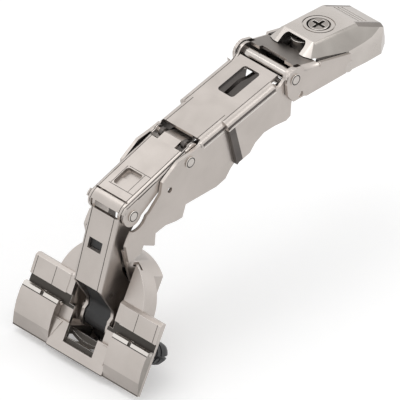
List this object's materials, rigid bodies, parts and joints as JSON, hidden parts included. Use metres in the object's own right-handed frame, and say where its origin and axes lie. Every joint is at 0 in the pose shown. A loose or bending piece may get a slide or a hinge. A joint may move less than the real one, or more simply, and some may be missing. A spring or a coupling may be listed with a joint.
{
  "type": "concealed cup hinge",
  "caption": "Wide opening cup hinge with a clip-on arm, nested folding links, a round cup and a flange with a clamp lever and dowels.",
  "frame": {"origin": "middle of the arm's seat plane, 22 mm behind the front pin", "axes": "+Z from the cabinet side into the cabinet, +Y from the cup to the rear of the arm, +X along the pins"},
  "size_m": [0.058, 0.1358, 0.0813],
  "materials": {
    "nickel": "nickel plated",
    "die_cast": "nickel plated casting",
    "dark_steel": "satin",
    "bright_steel": "bright",
    "black_plastic": "moulded"
  },
  "bodies": {
    "arm": {"arm_body": "die_cast", "release_pin": "bright_steel", "release_spring": "bright_steel"},
    "channel": {"arm_channel": "nickel", "front_pin": "bright_steel", "control_pin": "bright_steel"},
    "outer": {"outer_link": "nickel", "middle_pin": "bright_steel"},
    "inner": {"inner_link": "nickel", "tie_pin": "bright_steel", "knuckle_pin": "bright_steel", "knuckle_washers": "bright_steel"},
    "control": {"control_link": "nickel"},
    "cup_arm": {"cup_link": "nickel", "damper_housing": "black_plastic", "damper_pin": "bright_steel", "rear_axle": "bright_steel"},
    "piston": {"damper_piston": "bright_steel"},
    "cup": {"cup": "nickel", "front_axle": "bright_steel", "clamp_pin": "bright_steel", "dowel_left": "black_plastic", "dowel_right": "black_plastic", "dowel_screws": "bright_steel", "closing_spring": "bright_steel"},
    "clamp": {"clamp_lever": "nickel"},
    "screw": {"side_screw": "dark_steel"},
    "cam": {"depth_cam": "dark_steel"},
    "release": {"release_lever": "nickel"}
  },
  "joints": [
    {"name": "overlay_tilt", "type": "hinge", "parent": "arm", "child": "channel", "pos_m": [0, 0.0037, 0.0021], "axis": [1, 0, 0], "range_deg": [0, 1.5]},
    {"name": "fold", "type": "hinge", "parent": "channel", "child": "outer", "pos_m": [0, -0.022, 0.0096], "axis": [1, 0, 0], "range_deg": [-48, 0]},
    {"name": "inner_turn", "type": "hinge", "parent": "outer", "child": "inner", "pos_m": [0, -0.06799, -0.00187], "axis": [1, 0, 0], "range_deg": [-64.05, 0]},
    {"name": "control_turn", "type": "hinge", "parent": "inner", "child": "control", "pos_m": [0, -0.06529, 0.00135], "axis": [1, 0, 0], "range_deg": [0, 73.75]},
    {"name": "cup_link_turn", "type": "hinge", "parent": "inner", "child": "cup_arm", "pos_m": [0, -0.09282, -0.0117], "axis": [1, 0, 0], "range_deg": [0, 48.05]},
    {"name": "cup_turn", "type": "hinge", "parent": "outer", "child": "cup", "pos_m": [0, -0.08918, -0.03791], "axis": [1, 0, 0], "range_deg": [-104.05, 0]},
    {"name": "clamp_turn", "type": "hinge", "parent": "cup", "child": "clamp", "pos_m": [0, -0.10529, -0.05075], "axis": [1, 0, 0], "range_deg": [-90, 0]},
    {"name": "side_screw_turn", "type": "hinge", "parent": "arm", "child": "screw", "pos_m": [0, 0.0016, 0.0096], "axis": [0, 0, 1], "continuous": true},
    {"name": "depth_cam_turn", "type": "hinge", "parent": "arm", "child": "cam", "pos_m": [0, -0.0064, 0.0096], "axis": [0, 0, 1], "continuous": true},
    {"name": "release_turn", "type": "hinge", "parent": "arm", "child": "release", "pos_m": [0, 0.016, 0.0052], "axis": [1, 0, 0], "range_deg": [0, 6], "stiffness_Nm_per_rad": 0.02, "deforming": ["release_spring"]},
    {"name": "piston_stroke", "type": "slide", "parent": "cup_arm", "child": "piston", "axis": [0, -0.1236, -0.9923], "range_m": [0, 0.003], "stiffness_N_per_m": 60}
  ],
  "couplings": [
    {"joint": "inner_turn", "follows": "fold", "ratio": 1.3333},
    {"joint": "control_turn", "follows": "fold", "ratio": -1.5354},
    {"joint": "cup_link_turn", "follows": "fold", "ratio": -1},
    {"joint": "cup_turn", "follows": "fold", "ratio": 2.1667}
  ]
}
